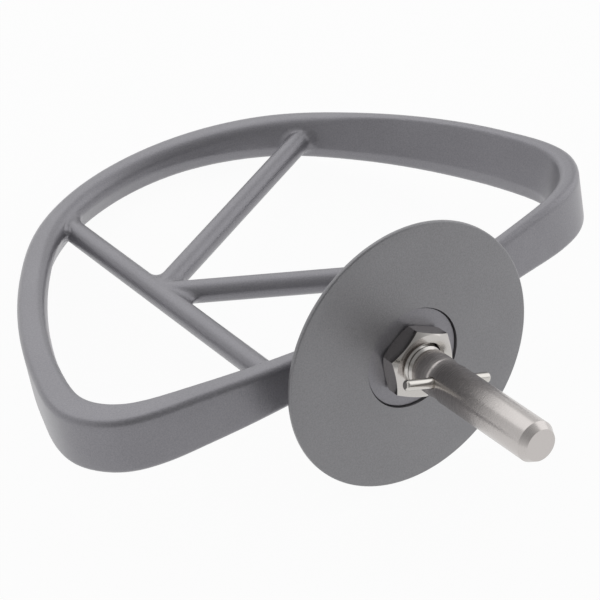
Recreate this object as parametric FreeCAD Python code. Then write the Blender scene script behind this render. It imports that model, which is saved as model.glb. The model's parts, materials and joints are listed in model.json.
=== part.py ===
import FreeCAD, Part
import math
import os
from FreeCAD import Vector

# Flat beater of a stand mixer, all sizes in millimetres.
# A cast frame (a closed loop with a K inside it and a hub) carries a thin splash guard,
# and a turned drive shaft screwed into the hub, set by a lock nut and driven by a cross pin.

# Outer wall of the loop: four tangent arcs on each side of the shaft's axis
loop_width = 179.0
crown_drop = 12.7           # hub face to the outer wall of the top bar, along the axis
tip_drop = 149.8            # hub face to the outer wall at the tip, along the axis
top_bar_radius = 346.0
shoulder_radius = 23.7
side_radius = 182.0
tip_radius = 67.3

# Section of the loop: upright outer wall, and a slanted inner flank with a ridge along it.
# The wide edge is up on the left side and down on the right, with the ridge on its half of
# the flank, and the wedge turns over on its way past the tip.
hub_bar_height = 12.0
hub_bar_thickness = 5.0
shoulder_height = 17.9
shoulder_swell = 1.6        # extra thickness inside the bend of each shoulder
wide_edge = 8.1
narrow_edge = 3.9
ridge_proud = 1.7           # of a straight line between the two edges
hub_ridge_proud = 0.4       # the same at the hub
ridge_share = 0.29          # of the height, from the wide edge to the ridge
ridge_radius = 2.0
tip_height = 10.8
edge_radius = 2.0           # of the loop's edges at the shoulders
tip_outer_radius = 3.1
tip_inner_radius = 4.0
edge_flat = 0.4             # least flat that is left between two rounded edges
hub_blend_length = 80.0     # wall length over which the hub section grows to the shoulder's
height_blend_length = 145.0  # wall length over which the height falls before the tip
upper_turn = (-100.0, -25.0)  # wall lengths past the tip, right to left, where the upper edge widens
lower_turn = (-40.0, 50.0)  # where the lower edge narrows
ridge_turn = (-90.0, 90.0)  # and where the ridge rises
section_spacing = 12.0      # wall length between the sections that shape the loop

# The K: a spine parallel to the shaft and two arms from one point of it
bar_diameter = 7.0
spine_offset = 33.0         # spine to the shaft's axis
knot_drop = 80.7            # hub face to the point where the arms leave the spine
lower_arm_angle = 27.0      # below the square to the spine, towards the tip
upper_arm_angle = 39.6      # above it, towards the hub
foot_fillet = 2.4           # flare of each bar, sideways, where it runs into the wall of the loop
foot_rise = 0.35            # share of the flare that goes up and down
foot_sink = 1.4             # how deep in the wall the flare ends
foot_bite = 1.0             # and how far the bar runs on from there
knot_fillet = 3.0           # where the arms leave the spine

# Hub of the casting
spigot_diameter = 30.0
seat_diameter = 37.0
seat_thickness = 3.2
spigot_chamfer = 0.35
neck_diameter = 24.0
hub_depth = 29.0            # hub face to the rounded bottom of the hub
hub_bottom_radius = 6.0

# Drive shaft with its cross pin and lock nut
shaft_diameter = 11.9
shaft_reach = 56.8          # hub face to the shaft's free end
end_chamfer_depth = 1.3
end_chamfer_length = 2.4
thread_diameter = 12.0
thread_above_face = 8.2
thread_below_face = 18.0
thread_end_chamfer = 1.0
bore_spare_depth = 2.0
pin_diameter = 3.0
pin_length = 29.0
pin_drop = 16.3             # hub face to the pin, along the shaft
pin_turn = 23.5             # the pin's turn out of the plane of the loop
pin_end_radius = 0.7
pin_relief_diameter = 11.4  # shallow turned band round the pin, clear of the socket's bore
pin_relief_length = 5.0
pin_relief_taper = 1.0      # at each end of that band
pin_hole_chamfer = 0.4
nut_across_flats = 19.0
nut_thickness = 6.0
nut_turn = 30.0             # direction of the nut's first corner
nut_chamfer_angle = 30.0
nut_face_inset = 0.3        # from the flats to the round edge of its chamfered face
nut_mouth_chamfer = 0.9

# Splash guard: a shallow dished disc round the hub's spigot
guard_diameter = 80.0
guard_thickness = 1.6
guard_dish = 1.1            # how far its rim lies behind its middle
guard_proud = 0.7           # its inner rim above the hub face
guard_edge_radius = 0.6

# Fits
thread_clearance = 0.05     # on the radius, between threaded pieces
pin_clearance = 0.02        # on the radius
guard_clearance = 0.1       # on the radius, between the guard and the spigot
same_place = 1e-4           # edges this close to a height lie at it

UP = Vector(0, 0, 1)
TOWARDS_TIP = Vector(0, 1, 0)
ORIGIN = Vector(0, 0, 0)
left, right = -1, 1


def unit(vector):
    return vector * (1.0 / vector.Length)


def heading(vector):
    return math.atan2(vector.y, vector.x)


def direction(angle):
    return Vector(math.cos(angle), math.sin(angle), 0)


def share_of(span, value):
    start, end = span
    return (value - start) / (end - start)


def blend(start, end, share):
    """A soft step from one value to another, level at both ends."""
    share = min(max(share, 0.0), 1.0)
    return start + (end - start) * share * share * (3 - 2 * share)


def wall_arcs():
    """Arcs of the outer wall on the right side, hub to tip: centre, radius, first and last heading."""
    top = Vector(0, crown_drop + top_bar_radius, 0)
    shoulder_x = loop_width / 2 - shoulder_radius
    shoulder_y = top.y - math.sqrt((top_bar_radius - shoulder_radius) ** 2 - shoulder_x ** 2)
    shoulder = Vector(shoulder_x, shoulder_y, 0)
    tip = Vector(0, tip_drop - tip_radius, 0)
    to_shoulder = side_radius - shoulder_radius
    to_tip = side_radius - tip_radius
    apart = tip - shoulder
    along = (to_shoulder ** 2 - to_tip ** 2 + apart.Length ** 2) / (2 * apart.Length)
    across = math.sqrt(to_shoulder ** 2 - along ** 2)
    chord = unit(apart)
    side = shoulder + chord * along + UP.cross(chord) * across
    turns = [heading(shoulder - top), heading(shoulder - side), heading(tip - side)]
    return [
        (top, top_bar_radius, -math.pi / 2, turns[0]),
        (shoulder, shoulder_radius, turns[0], turns[1]),
        (side, side_radius, turns[1], turns[2]),
        (tip, tip_radius, turns[2], math.pi / 2),
    ]


def arc_length(arc):
    centre, radius, first, last = arc
    return radius * (last - first)


def section_sizes(run, side):
    """Upper and lower thickness and height of the loop, and its thickness at the ridge and the
    ridge's level above the middle, at a wall length from the hub."""
    lengths = [arc_length(arc) for arc in wall_arcs()]
    from_hub = run / hub_blend_length
    past_tip = (run - sum(lengths)) * side
    from_bend = abs(run - lengths[0] - lengths[1] / 2)
    swell = blend(shoulder_swell, 0, from_bend / lengths[1])
    upper = blend(narrow_edge, wide_edge, share_of(upper_turn, past_tip))
    lower = blend(wide_edge, narrow_edge, share_of(lower_turn, past_tip))
    height = blend(tip_height, shoulder_height, (sum(lengths) - run) / height_blend_length)
    height -= blend(shoulder_height - hub_bar_height, 0, from_hub)
    above = blend(hub_bar_thickness, upper, from_hub) + swell
    below = blend(hub_bar_thickness, lower, from_hub) + swell
    share = blend(ridge_share, 1 - ridge_share, share_of(ridge_turn, past_tip))
    level = blend(0, (share - 0.5) * height, from_hub)
    ridge = (above + below) / 2 + (above - below) * level / height
    ridge += blend(hub_ridge_proud, ridge_proud, from_hub)
    return above, below, height, ridge, level


def edge_radii(run, thickness):
    """Outer and inner rounding of an edge of the loop; the inner one takes what the outer one leaves."""
    half_length = sum(arc_length(arc) for arc in wall_arcs())
    from_tip = (half_length - run) / height_blend_length
    outer = blend(tip_outer_radius, edge_radius, from_tip)
    inner = blend(tip_inner_radius, edge_radius, from_tip)
    return outer, min(inner, thickness - edge_flat - outer)


def meet_wall(start, along):
    """Where a bar's flare ends just inside the loop's flank, and the direction into the flank there."""
    for side in (left, right):
        run = 0.0
        for centre, radius, first, last in wall_arcs():
            middle = Vector(side * centre.x, centre.y, 0)
            slope = (start - middle).dot(along)
            inset = (wide_edge + narrow_edge) / 2
            for attempt in range(3):
                beyond = (start - middle).Length ** 2 - (radius - inset) ** 2
                if slope ** 2 < beyond:
                    break
                point = start + along * (math.sqrt(slope ** 2 - beyond) - slope)
                out = unit(point - middle)
                turn = heading(Vector(side * out.x, out.y, 0))
                above, below, height, ridge, level = section_sizes(run + radius * (turn - first), side)
                edge = below if level > 0 else above
                inset = ridge + (edge - ridge) * abs(level) / (height / 2 + abs(level))
            if slope ** 2 >= beyond and first <= turn <= last:
                into = unit(out + UP * ((above - below) / height))
                return point + along * (foot_sink / along.dot(into)), into
            run += radius * (last - first)


def rounded_wire(corners, radii, place):
    """A closed wire through corners in (outward, up), each rounded, set in space by place."""
    edges = []
    spans = []
    for index, corner in enumerate(corners):
        back = unit(corners[index - 1] - corner)
        ahead = unit(corners[(index + 1) % len(corners)] - corner)
        half = back.getAngle(ahead) / 2
        reach = radii[index] / math.tan(half)
        inwards = unit(back + ahead)
        bulge = corner + inwards * (radii[index] / math.sin(half) - radii[index])
        spans.append((corner + back * reach, bulge, corner + ahead * reach))
    for index, (start, bulge, end) in enumerate(spans):
        previous_end = spans[index - 1][2]
        edges.append(Part.makeLine(place(previous_end), place(start)))
        edges.append(Part.Arc(place(start), place(bulge), place(end)).toShape())
    return Part.Wire(edges)


def loop_section(arc, turn, run, side):
    """One section of the loop, on one arc of its wall, at a wall length run from the hub."""
    centre, radius, first, last = arc
    above, below, height, ridge, level = section_sizes(run, side)
    outer_above, inner_above = edge_radii(run, above)
    outer_below, inner_below = edge_radii(run, below)
    out = direction(turn)
    base = centre + out * radius

    def place(point):
        spot = base + out * point.x
        return Vector(side * spot.x, spot.y, point.y)

    corners = [
        Vector(0, height / 2, 0),
        Vector(-above, height / 2, 0),
        Vector(-ridge, level, 0),
        Vector(-below, -height / 2, 0),
        Vector(0, -height / 2, 0),
    ]
    radii = [outer_above, inner_above, ridge_radius, inner_below, outer_below]
    return rounded_wire(corners, radii, place)


def make_loop():
    """The loop as one loft, from the hub round the right side, the tip and the left side."""
    arcs = wall_arcs()
    halves = {left: [], right: []}
    for side in (left, right):
        run = 0.0
        for arc in arcs:
            centre, radius, first, last = arc
            steps = max(4, math.ceil(arc_length(arc) / section_spacing))
            for step in range(steps):
                turn = first + (last - first) * step / steps
                halves[side].append(loop_section(arc, turn, run + radius * (turn - first), side))
            run += arc_length(arc)
    at_tip = loop_section(arcs[-1], arcs[-1][3], run, right)
    return Part.makeLoft(halves[right] + [at_tip] + halves[left][::-1], True, False)


def oval(centre, along, out, extra):
    """Section of a round bar by a plane that faces out, enlarged sideways by extra."""
    short_way = unit(out.cross(along))
    if short_way.z < 0:
        short_way = short_way * -1
    long_way = unit(out.cross(short_way))
    if long_way.dot(UP.cross(along)) < 0:
        long_way = long_way * -1
    long_half = bar_diameter / 2 / along.dot(out) + extra
    short_half = bar_diameter / 2 + extra * foot_rise
    ellipse = Part.Ellipse(centre + long_way * long_half, centre + short_way * short_half, centre)
    return Part.Wire(ellipse.toShape())


def bar_foot(point, along, out):
    """The flared end of a bar, from its plain section to the wall and on into the wall."""
    lift = 1.0 / along.dot(out)
    sections = []
    for share in (1.0, 0.75, 0.5, 0.3, 0.12, 0.0):
        height = foot_fillet * share
        extra = foot_fillet - math.sqrt(foot_fillet ** 2 - (foot_fillet - height) ** 2)
        sections.append(oval(point - along * height * lift, along, out, extra))
    sections.append(oval(point + along * foot_bite * lift, along, out, foot_fillet))
    return Part.makeLoft(sections, True, False)


def make_bars():
    """The K: its straight bars joined at the knot, and their flared ends."""
    knot = Vector(-spine_offset, knot_drop, 0)
    lower = direction(math.radians(lower_arm_angle))
    upper = direction(math.radians(-upper_arm_angle))
    plain = []
    feet = []
    for along in (TOWARDS_TIP * -1, TOWARDS_TIP, lower, upper):
        point, out = meet_wall(knot, along)
        end = point - along * (foot_fillet / along.dot(out))
        length = (point - knot).Length
        beyond = Part.makeCylinder(length, length, end, out)
        plain.append(Part.makeCylinder(bar_diameter / 2, length, knot, along).cut(beyond))
        feet.append(bar_foot(point, along, out))
    knee = plain[0].fuse(plain[1:]).removeSplitter()
    corners = [edge for edge in knee.Edges if edge.BoundBox.DiagonalLength < 3 * bar_diameter
               and (edge.BoundBox.Center - knot).Length < 1.5 * bar_diameter]
    return [knee.makeFillet(knot_fillet, corners)] + feet


def revolved(profile):
    """A solid turned about the shaft's axis from (radius, distance below the hub face) points."""
    points = [Vector(radius, drop, 0) for radius, drop in profile]
    return Part.Face(Part.makePolygon(points + points[:1])).revolve(ORIGIN, TOWARDS_TIP, 360)


def ring_edges(shape, drop):
    """The round edges of a turned solid that lie at one distance below the hub face."""
    return [edge for edge in shape.Edges
            if max(abs(edge.BoundBox.YMin - drop), abs(edge.BoundBox.YMax - drop)) < same_place]


seat_drop = guard_thickness - guard_proud
bore_radius = thread_diameter / 2 + thread_clearance


def make_hub():
    """The hub's spigot, guard seat and neck, turned about the shaft's axis."""
    spigot = spigot_diameter / 2
    hub = revolved([
        (0, 0), (spigot - spigot_chamfer, 0), (spigot, spigot_chamfer), (spigot, seat_drop),
        (seat_diameter / 2, seat_drop), (seat_diameter / 2, seat_drop + seat_thickness),
        (neck_diameter / 2, seat_drop + seat_thickness), (neck_diameter / 2, hub_depth), (0, hub_depth),
    ])
    return hub.makeFillet(hub_bottom_radius, ring_edges(hub, hub_depth))


def make_frame():
    """The casting: loop, K and hub in one piece, with the threaded bore for the shaft."""
    frame = make_loop().fuse(make_bars() + [make_hub()])
    bore_depth = thread_below_face + bore_spare_depth
    return frame.cut(Part.makeCylinder(bore_radius, bore_depth, ORIGIN, TOWARDS_TIP))


def make_guard():
    """The splash guard: a flat land on the hub's seat, then a shallow cone out to a rounded rim."""
    inner = spigot_diameter / 2 + guard_clearance
    land = seat_diameter / 2
    outer = guard_diameter / 2
    front = -guard_proud
    back = front + guard_thickness
    guard = revolved([
        (inner, front), (land, front), (outer, front + guard_dish), (outer, back + guard_dish),
        (land, back), (inner, back),
    ])
    rim = ring_edges(guard, front + guard_dish) + ring_edges(guard, back + guard_dish)
    return guard.makeFillet(guard_edge_radius, rim)


def pin_direction():
    turn = math.radians(pin_turn)
    return Vector(-math.cos(turn), 0, math.sin(turn))


def make_shaft():
    """The drive shaft: threaded below, plain above, chamfered at its free end, drilled for the pin."""
    radius = shaft_diameter / 2
    thread = thread_diameter / 2
    relief = pin_relief_diameter / 2
    relief_start = pin_relief_length / 2 - pin_drop
    relief_end = -pin_relief_length / 2 - pin_drop
    shaft = revolved([
        (0, thread_below_face), (thread - thread_end_chamfer, thread_below_face),
        (thread, thread_below_face - thread_end_chamfer), (thread, -thread_above_face),
        (radius, -thread_above_face), (radius, relief_start), (relief, relief_start - pin_relief_taper),
        (relief, relief_end + pin_relief_taper), (radius, relief_end),
        (radius, end_chamfer_length - shaft_reach), (radius - end_chamfer_depth, -shaft_reach), (0, -shaft_reach),
    ])
    middle = Vector(0, -pin_drop, 0)
    hole = pin_diameter / 2 + pin_clearance
    start = middle - pin_direction() * shaft_diameter
    cuts = [Part.makeCylinder(hole, 2 * shaft_diameter, start, pin_direction())]
    for along in (pin_direction(), pin_direction() * -1):
        mouth = middle + along * (relief - pin_hole_chamfer)
        cuts.append(Part.makeCone(hole, hole + 2 * pin_hole_chamfer, 2 * pin_hole_chamfer, mouth, along))
    return shaft.cut(cuts)


def make_pin():
    """The cross pin that the mixer's socket drives, with rounded ends."""
    start = Vector(0, -pin_drop, 0) - pin_direction() * (pin_length / 2)
    pin = Part.makeCylinder(pin_diameter / 2, pin_length, start, pin_direction())
    return pin.makeFillet(pin_end_radius, [edge for edge in pin.Edges if edge.Closed])


def make_nut():
    """The lock nut: a hexagon with its corners chamfered on both faces and a chamfered bore."""
    corner = nut_across_flats / 2 / math.cos(math.pi / 6)
    turns = [math.radians(nut_turn + 60 * step) for step in range(6)]
    points = [Vector(corner * math.cos(turn), 0, corner * math.sin(turn)) for turn in turns]
    prism = Part.Face(Part.makePolygon(points + points[:1])).extrude(TOWARDS_TIP * -nut_thickness)
    slope = math.tan(math.radians(nut_chamfer_angle))
    flat = nut_across_flats / 2 - nut_face_inset
    fall = (corner - flat) * slope
    barrel = revolved([
        (0, 0), (flat, 0), (corner, -fall), (corner, fall - nut_thickness), (flat, -nut_thickness),
        (0, -nut_thickness),
    ])
    mouth = bore_radius + nut_mouth_chamfer
    bore = revolved([
        (0, 0), (mouth, 0), (bore_radius, -nut_mouth_chamfer), (bore_radius, nut_mouth_chamfer - nut_thickness),
        (mouth, -nut_thickness), (0, -nut_thickness),
    ])
    return prism.common(barrel).cut(bore)


def lay_down(shapes):
    """Tips the beater until it rests on the rim of its guard and the underside of its tip."""
    rim_radius = guard_edge_radius
    rim_drop = guard_thickness - guard_proud + guard_dish - rim_radius
    rim_height = rim_radius - guard_diameter / 2
    half_length = sum(arc_length(arc) for arc in wall_arcs())
    above, below, height, ridge, level = section_sizes(half_length, right)
    tip_rounding, inner_rounding = edge_radii(half_length, below)
    tip_middle = tip_drop - tip_rounding
    tip_low = tip_rounding - height / 2
    reach = math.hypot(tip_middle - rim_drop, tip_low - rim_height)
    pitch = math.atan2(tip_low - rim_height, tip_middle - rim_drop)
    pitch -= math.asin((tip_rounding - rim_radius) / reach)
    laid = {}
    for name, shape in shapes.items():
        turned = shape.copy()
        turned.rotate(ORIGIN, Vector(1, 0, 0), -math.degrees(pitch))
        laid[name] = turned
    whole = Part.makeCompound(list(laid.values())).optimalBoundingBox(False, False)
    floor = rim_height * math.cos(pitch) - rim_drop * math.sin(pitch) - rim_radius
    for shape in laid.values():
        shape.translate(Vector(0, -whole.Center.y, -floor))
    return laid


pieces = lay_down({
    "beater_frame": make_frame(),
    "splash_guard": make_guard(),
    "drive_shaft": make_shaft(),
    "drive_pin": make_pin(),
    "lock_nut": make_nut(),
})
os.makedirs("parts", exist_ok=True)
for node, solid in pieces.items():
    solid.exportStep("parts/" + node + ".step")
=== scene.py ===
import json
import math

import bpy
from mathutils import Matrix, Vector


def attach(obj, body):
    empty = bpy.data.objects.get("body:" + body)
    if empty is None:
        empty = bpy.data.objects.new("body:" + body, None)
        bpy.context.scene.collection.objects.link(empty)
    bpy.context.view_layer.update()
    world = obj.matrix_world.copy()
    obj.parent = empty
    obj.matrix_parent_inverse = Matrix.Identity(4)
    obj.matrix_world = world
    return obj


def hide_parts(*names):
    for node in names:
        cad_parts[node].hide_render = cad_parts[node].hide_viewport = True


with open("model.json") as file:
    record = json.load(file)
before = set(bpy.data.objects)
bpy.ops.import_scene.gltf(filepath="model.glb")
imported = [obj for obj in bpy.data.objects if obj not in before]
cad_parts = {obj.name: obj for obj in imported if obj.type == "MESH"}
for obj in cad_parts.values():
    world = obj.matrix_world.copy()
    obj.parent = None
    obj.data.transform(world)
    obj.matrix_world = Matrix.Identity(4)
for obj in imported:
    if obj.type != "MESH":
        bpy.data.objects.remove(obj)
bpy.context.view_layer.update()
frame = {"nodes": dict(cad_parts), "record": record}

# Places along the drive shaft, in metres from the hub face towards the shaft's free end
SHANK_MIDDLE = 0.0366
THREAD_END = 0.0082
THREAD_START = -0.017

# Thread between the hub and the shank
THREAD_CREST = 0.0060
THREAD_ROOT = 0.0053
THREAD_PITCH = 0.00175
THREAD_FLANK = 0.0015       # width of the ridge at its root
CREST_SHARE = 0.2           # of that width, left at the crest
CREST_SLACK = 0.00002       # a point this close under the crest belongs to the thread
THREAD_STEPS = 48           # facets in one turn

# The K of the casting, from the shaft's axis and the hub face
SPINE_OFFSET = 0.033
KNOT_DROP = 0.0807
BAR_RADIUS = 0.0035
BAR_TURNS = {"spine_hub": -90.0, "spine_tip": 90.0, "lower_arm": 27.0, "upper_arm": -39.6}
FILLET_REACH = 0.0034       # of the cast fillet round each bar's end, sideways
FILLET_RISE = 0.35          # share of that reach above and below the bar
FILLET_SINK = 0.00002       # how far its rims dip under the casting's surface
FILLET_LOOK_BACK = 0.025    # from the loop's outer wall, where the search for its inner wall starts
FILLET_ROUND = 64           # facets round the bar
FILLET_ACROSS = 10          # facets from the bar to the wall

# Surfaces
MERGE_DISTANCE = 0.000005   # points this close are one
SMOOTH_ANGLE = 18           # facets that meet at less than this are shaded as one surface

# Satin coat: its sandy grain and the slow clouds in its tone, per metre
COAT_GRAIN = 2400.0
COAT_CLOUD = 45.0
GRAIN_TINT = 1.6            # how much the grain sways the tone
CLOUD_TINT = 0.4            # and the clouds
TINT_SHIFT = 0.5            # brings their sum back to the middle of the two tones
COAT_METAL = 0.6            # share of metal flake in the coat
COAT_GLOSS = 0.34           # least roughness of the coat
COAT_GLOSS_SWAY = 0.16      # added by the grain
COAT_RELIEF = 0.35
GRAIN_DEPTH = 0.0002
TOP_COAT = 0.5              # clear film over the flake
TOP_COAT_GLOSS = 0.3

# Steel: turning rings and ground unevenness, per metre
RING_SCALE = 10000.0
RING_GLOSS_SWAY = 0.08
RING_DEPTH = 0.00003
GROUND_SCALE = 700.0
GROUND_GLOSS_SWAY = 0.06

# The studio: its air is light all round but on one side, above the camera
DARK_SIDE = Vector((-0.22, -0.66, 0.72))
DARK_CORE = 0.95            # cosine to that side within which the air is darkest
DARK_RIM = 0.3              # and beyond which it is light
DARK_LEVEL = 0.4            # share of the light that the darkest air keeps
AIR_LIGHT = 0.62
SHINE_LIGHT = 0.8           # the air's light in reflections
FLOOR_SIZE = 12.0
FLOOR_PAINT = (0.94, 0.94, 0.94, 1)
FLOOR_WHITE = 0.95          # share of plain white in what the eye and reflections see of the floor
WHITE = (1, 1, 1, 1)
LAMPS = (
    {"name": "back_lamp", "location": (0.15, 0.95, 0.80), "size": 1.2, "watts": 2.4},
    {"name": "side_lamp", "location": (0.80, -0.15, 0.45), "size": 0.9, "watts": 1.5},
)
LAMP_AIM = Vector((0, 0, 0.03))
CAMERA_PLACE = (-0.30311, -0.43651, 0.55770)
CAMERA_TURN = (44.947, 1.282, -35.533)
CAMERA_LENS = 156.0
CAMERA_SENSOR = 36.0

shank = frame["record"]["mounts"][0]
shaft_axis = Vector(shank["axis"])
hub_face = Vector(shank["pos_m"]) - shaft_axis * SHANK_MIDDLE
shaft_tilt = math.atan2(-shaft_axis.y, shaft_axis.z)
to_tip = -shaft_axis
across = Vector((1, 0, 0))
above = across.cross(to_tip)
knot = hub_face - across * SPINE_OFFSET + to_tip * KNOT_DROP


class Wire:
    """A shader socket that can be reckoned with: each sum or product is a Math node."""

    def __init__(self, tree, socket):
        self.tree = tree
        self.socket = socket

    def node(self, kind, inputs, output=0, **settings):
        made = self.tree.nodes.new(kind)
        for key, value in settings.items():
            setattr(made, key, value)
        for key, value in inputs.items():
            if isinstance(value, Wire):
                self.tree.links.new(value.socket, made.inputs[key])
            else:
                made.inputs[key].default_value = value
        return Wire(self.tree, made.outputs[output])

    def __add__(self, other):
        return self.node("ShaderNodeMath", {0: self, 1: other}, operation="ADD")

    def __radd__(self, other):
        return self.node("ShaderNodeMath", {0: other, 1: self}, operation="ADD")

    def __sub__(self, other):
        return self.node("ShaderNodeMath", {0: self, 1: other}, operation="SUBTRACT")

    def __rsub__(self, other):
        return self.node("ShaderNodeMath", {0: other, 1: self}, operation="SUBTRACT")

    def __mul__(self, other):
        return self.node("ShaderNodeMath", {0: self, 1: other}, operation="MULTIPLY")

    def __rmul__(self, other):
        return self.node("ShaderNodeMath", {0: other, 1: self}, operation="MULTIPLY")


def new_material(name, **constants):
    """A material with its constant sockets set; gives it with its surface shader and object coordinates."""
    material = bpy.data.materials.new(name)
    material.use_nodes = True
    tree = material.node_tree
    surface = next(node for node in tree.nodes if node.type == "BSDF_PRINCIPLED")
    for socket, value in constants.items():
        surface.inputs[socket.replace("_", " ")].default_value = value
    place = tree.nodes.new("ShaderNodeTexCoord").outputs["Object"]
    return material, surface, Wire(tree, place)


def connect(surface, **values):
    for socket, value in values.items():
        value.tree.links.new(value.socket, surface.inputs[socket.replace("_", " ")])


def grain(place, scale, detail=3.0):
    return place.node("ShaderNodeTexNoise", {"Vector": place, "Scale": scale, "Detail": detail})


def tint(share, dark, light):
    """A colour between two, by a share from 0 to 1."""
    return share.node("ShaderNodeMix", {0: share, 6: dark, 7: light}, output=2, data_type="RGBA")


def relief(height, strength, depth):
    return height.node("ShaderNodeBump", {"Height": height, "Strength": strength, "Distance": depth})


def satin_coat(name, dark, light):
    """Sprayed satin coat: fine sandy grain, and a faint cloudiness in its tone."""
    material, surface, place = new_material(
        name, Metallic=COAT_METAL, Coat_Weight=TOP_COAT, Coat_Roughness=TOP_COAT_GLOSS)
    fine = grain(place, COAT_GRAIN)
    cloud = grain(place, COAT_CLOUD, detail=2.0)
    connect(
        surface,
        Base_Color=tint(fine * GRAIN_TINT + cloud * CLOUD_TINT - TINT_SHIFT, dark, light),
        Roughness=COAT_GLOSS + fine * COAT_GLOSS_SWAY,
        Normal=relief(fine, COAT_RELIEF, GRAIN_DEPTH),
    )
    return material


def turned_metal(name, colour, gloss, lines):
    """Machined steel with faint rings round the shaft's axis."""
    material, surface, place = new_material(name, Metallic=1.0, Base_Color=colour)
    along = place.node("ShaderNodeVectorMath", {0: place, 1: shaft_axis}, output=1, operation="DOT_PRODUCT")
    rings = along.node("ShaderNodeTexNoise", {"W": along, "Scale": RING_SCALE, "Detail": 2.0},
                       noise_dimensions="1D")
    connect(
        surface,
        Roughness=gloss + rings * RING_GLOSS_SWAY,
        Normal=relief(rings, lines, RING_DEPTH),
    )
    return material


def ground_metal(name, colour, gloss):
    """Bright ground steel with a little unevenness."""
    material, surface, place = new_material(name, Metallic=1.0, Base_Color=colour)
    connect(surface, Roughness=gloss + grain(place, GROUND_SCALE) * GROUND_GLOSS_SWAY)
    return material


casting_coat = satin_coat("satin grey coat, casting", (0.215, 0.211, 0.230, 1), (0.315, 0.308, 0.334, 1))
guard_coat = satin_coat("satin grey coat, guard", (0.205, 0.203, 0.213, 1), (0.300, 0.297, 0.311, 1))
shaft_steel = turned_metal("turned steel, shaft", (0.56, 0.53, 0.515, 1), gloss=0.22, lines=0.25)
thread_steel = ground_metal("cut steel, thread", (0.56, 0.54, 0.52, 1), gloss=0.20)
pin_steel = ground_metal("ground steel, pin", (0.60, 0.58, 0.55, 1), gloss=0.14)
nut_steel = turned_metal("bright steel, nut", (0.54, 0.52, 0.50, 1), gloss=0.12, lines=0.05)


def only(piece):
    """Makes a piece the only one selected, and the active one."""
    bpy.ops.object.select_all(action="DESELECT")
    piece.select_set(True)
    bpy.context.view_layer.objects.active = piece


def dress(piece, material):
    piece.data.materials.clear()
    piece.data.materials.append(material)
    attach(piece, "root")


def smooth_copy(node, name, material):
    """A copy of a node with its facets joined and shaded smooth, which stands for the node."""
    only(frame["nodes"][node])
    bpy.ops.object.duplicate()
    piece = bpy.context.object
    piece.name = name
    bpy.ops.object.mode_set(mode="EDIT")
    bpy.ops.mesh.select_all(action="SELECT")
    bpy.ops.mesh.remove_doubles(threshold=MERGE_DISTANCE)
    bpy.ops.object.mode_set(mode="OBJECT")
    bpy.ops.mesh.customdata_custom_splitnormals_clear()
    bpy.ops.object.shade_smooth_by_angle(angle=math.radians(SMOOTH_ANGLE))
    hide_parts(node)
    dress(piece, material)
    return piece


def lay_along_shaft(piece):
    """Turns a piece made upright at the origin, and moves it to the hub face."""
    only(piece)
    piece.rotation_euler = (shaft_tilt, 0, 0)
    piece.location = hub_face
    bpy.ops.object.transform_apply(location=True, rotation=True, scale=True)


def cut_thread():
    """The thread's ridge: a flank profile narrowed at its crest, wound up the shaft."""
    bpy.ops.object.select_all(action="DESELECT")
    middle = (THREAD_CREST + THREAD_ROOT) / 2
    bpy.ops.mesh.primitive_plane_add(
        size=1, location=(middle, 0, THREAD_START), rotation=(math.pi / 2, 0, 0))
    ridge = bpy.context.object
    ridge.name = "shaft_thread"
    ridge.scale = (THREAD_CREST - THREAD_ROOT, THREAD_FLANK, 1)
    bpy.ops.object.transform_apply(location=True, rotation=True, scale=True)
    for vertex in ridge.data.vertices:
        vertex.select = vertex.co.x > middle
    for edge in ridge.data.edges:
        edge.select = all(ridge.data.vertices[index].select for index in edge.vertices)
    for face in ridge.data.polygons:
        face.select = False
    bpy.ops.object.mode_set(mode="EDIT")
    bpy.ops.transform.resize(value=(1, 1, CREST_SHARE))
    bpy.ops.mesh.select_all(action="SELECT")
    bpy.ops.mesh.delete(type="ONLY_FACE")
    bpy.ops.object.mode_set(mode="OBJECT")
    winding = ridge.modifiers.new("winding", "SCREW")
    winding.axis = "Z"
    winding.steps = THREAD_STEPS
    winding.render_steps = THREAD_STEPS
    winding.screw_offset = THREAD_PITCH
    winding.iterations = int((THREAD_END - THREAD_START) / THREAD_PITCH)
    bpy.ops.object.modifier_apply(modifier=winding.name)
    bpy.ops.object.mode_set(mode="EDIT")
    bpy.ops.mesh.select_all(action="DESELECT")
    bpy.ops.mesh.select_non_manifold()
    bpy.ops.mesh.edge_face_add()
    bpy.ops.mesh.select_all(action="SELECT")
    bpy.ops.mesh.normals_make_consistent(inside=False)
    bpy.ops.object.mode_set(mode="OBJECT")
    bpy.ops.object.shade_smooth_by_angle(angle=math.radians(SMOOTH_ANGLE))
    lay_along_shaft(ridge)
    dress(ridge, thread_steel)


def turn_down_thread_root(shaft):
    """Takes the threaded length of the shaft's copy down to the root of its thread."""
    for vertex in shaft.data.vertices:
        along = (vertex.co - hub_face).dot(shaft_axis)
        out = vertex.co - hub_face - shaft_axis * along
        if out.length > THREAD_CREST - CREST_SLACK:
            vertex.co -= out * (1 - THREAD_ROOT / out.length)


def fillet_curve(casting, start, along, out):
    """Points of the fillet in one direction out from a bar: off the bar, towards the loop, along its wall."""
    share = abs(out.dot(above)) ** 2
    reach = FILLET_REACH * (1 - share * (1 - FILLET_RISE))
    _, rim, normal, _ = casting.ray_cast(start + out * (BAR_RADIUS + reach), along)
    line = start + out * (BAR_RADIUS - FILLET_SINK)
    rim = rim - normal * FILLET_SINK
    corner = line + along * ((rim - line).dot(normal) / along.dot(normal))
    leave = corner - along * reach
    steps = [step / FILLET_ACROSS for step in range(FILLET_ACROSS + 1)]
    return [leave * (1 - t) ** 2 + corner * 2 * t * (1 - t) + rim * t ** 2 for t in steps]


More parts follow.
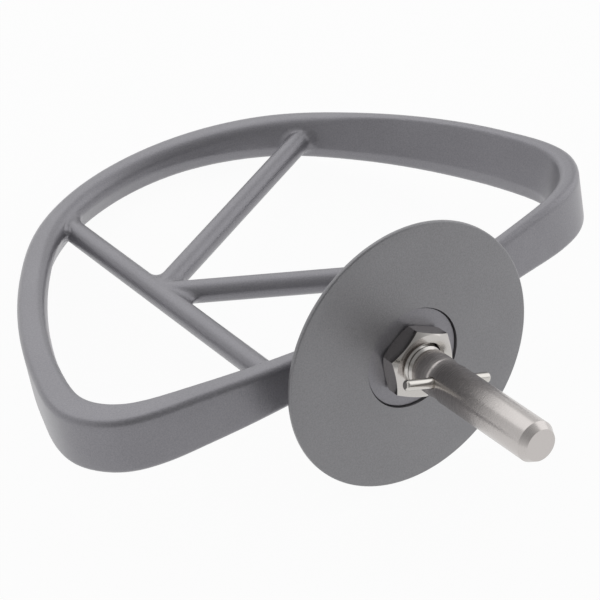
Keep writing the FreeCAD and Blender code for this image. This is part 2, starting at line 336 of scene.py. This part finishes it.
def cast_fillet(name, casting, turn):
    """The rounded blend where a bar of the K runs into the loop."""
    turn = math.radians(turn)
    along = across * math.cos(turn) + to_tip * math.sin(turn)
    sideways = above.cross(along)
    _, outer_wall, _, _ = casting.ray_cast(knot + along * BAR_RADIUS, along)
    start = outer_wall - along * FILLET_LOOK_BACK
    curves = []
    for step in range(FILLET_ROUND + 1):
        round_bar = 2 * math.pi * step / FILLET_ROUND
        out = sideways * math.cos(round_bar) + above * math.sin(round_bar)
        curves.append(fillet_curve(casting, start, along, out))
    bpy.ops.object.select_all(action="DESELECT")
    bpy.ops.mesh.primitive_grid_add(x_subdivisions=FILLET_ROUND, y_subdivisions=FILLET_ACROSS)
    fillet = bpy.context.object
    fillet.name = "cast_fillet_" + name
    for vertex in fillet.data.vertices:
        ring, step = divmod(vertex.index, FILLET_ROUND + 1)
        vertex.co = curves[step][ring]
    bpy.ops.object.mode_set(mode="EDIT")
    bpy.ops.mesh.select_all(action="SELECT")
    bpy.ops.mesh.remove_doubles(threshold=MERGE_DISTANCE)
    bpy.ops.mesh.normals_make_consistent(inside=False)
    bpy.ops.object.mode_set(mode="OBJECT")
    bpy.ops.object.shade_smooth()
    dress(fillet, casting_coat)


casting = smooth_copy("beater_frame", "beater_casting", casting_coat)
for name, turn in BAR_TURNS.items():
    cast_fillet(name, casting, turn)
smooth_copy("splash_guard", "splash_disc", guard_coat)
shaft = smooth_copy("drive_shaft", "turned_shaft", shaft_steel)
turn_down_thread_root(shaft)
smooth_copy("drive_pin", "cross_pin", pin_steel)
smooth_copy("lock_nut", "hexagon_nut", nut_steel)
cut_thread()


def ray_kinds(tree):
    """Two shares, each 0 or 1: what the eye sees, and what a reflection or a clear piece shows."""
    rays = tree.nodes.new("ShaderNodeLightPath")
    seen = Wire(tree, rays.outputs["Is Camera Ray"])
    shine = Wire(tree, rays.outputs["Is Glossy Ray"])
    through = Wire(tree, rays.outputs["Is Transmission Ray"])
    return seen, shine + through


def lay_floor():
    """A white floor that keeps a soft shadow of the beater."""
    bpy.ops.object.select_all(action="DESELECT")
    bpy.ops.mesh.primitive_plane_add(size=FLOOR_SIZE, location=(0, 0, 0))
    floor = bpy.context.object
    floor.name = "studio_floor"
    material = bpy.data.materials.new("white studio floor")
    material.use_nodes = True
    tree = material.node_tree
    tree.nodes.clear()
    out = tree.nodes.new("ShaderNodeOutputMaterial")
    seen, mirrored = ray_kinds(tree)
    paint = seen.node("ShaderNodeBsdfDiffuse", {"Color": FLOOR_PAINT})
    white = seen.node("ShaderNodeEmission", {"Color": WHITE, "Strength": 1.0})
    shade = seen.node("ShaderNodeMixShader", {0: (seen + mirrored) * FLOOR_WHITE, 1: paint, 2: white})
    tree.links.new(shade.socket, out.inputs["Surface"])
    floor.data.materials.append(material)


def hang_lamp(name, location, size, watts):
    """A square soft lamp that faces the middle of the beater and isn't seen itself."""
    bpy.ops.object.light_add(type="AREA", location=location)
    lamp = bpy.context.object
    lamp.name = name
    lamp.data.shape = "SQUARE"
    lamp.data.size = size
    lamp.data.energy = watts
    lamp.rotation_euler = (LAMP_AIM - lamp.location).to_track_quat("-Z", "Y").to_euler()
    lamp.visible_camera = False


def fill_air():
    """Light from all round, less of it from the dark side; the eye sees plain white."""
    world = bpy.data.worlds.new("studio")
    bpy.context.scene.world = world
    world.use_nodes = True
    tree = world.node_tree
    tree.nodes.clear()
    out = tree.nodes.new("ShaderNodeOutputWorld")
    around = Wire(tree, tree.nodes.new("ShaderNodeTexCoord").outputs["Generated"])
    facing = around.node("ShaderNodeVectorMath", {0: around, 1: DARK_SIDE}, output=1, operation="DOT_PRODUCT")
    open_side = facing.node(
        "ShaderNodeMapRange", {"Value": facing, "From Min": DARK_CORE, "From Max": DARK_RIM},
        interpolation_type="SMOOTHSTEP")
    seen, mirrored = ray_kinds(tree)
    level = AIR_LIGHT + mirrored * (SHINE_LIGHT - AIR_LIGHT)
    dimmed = level * (DARK_LEVEL + open_side * (1 - DARK_LEVEL))
    strength = seen.node("ShaderNodeMath", {0: seen, 1: dimmed}, operation="MAXIMUM")
    air = seen.node("ShaderNodeBackground", {"Color": WHITE, "Strength": strength})
    tree.links.new(air.socket, out.inputs["Surface"])


def set_camera():
    bpy.ops.object.camera_add(
        location=CAMERA_PLACE, rotation=[math.radians(turn) for turn in CAMERA_TURN])
    camera = bpy.context.object
    camera.data.sensor_width = CAMERA_SENSOR
    camera.data.lens = CAMERA_LENS
    bpy.context.scene.camera = camera


lay_floor()
fill_air()
for lamp in LAMPS:
    hang_lamp(**lamp)
set_camera()
bpy.context.scene.view_settings.view_transform = "Standard"
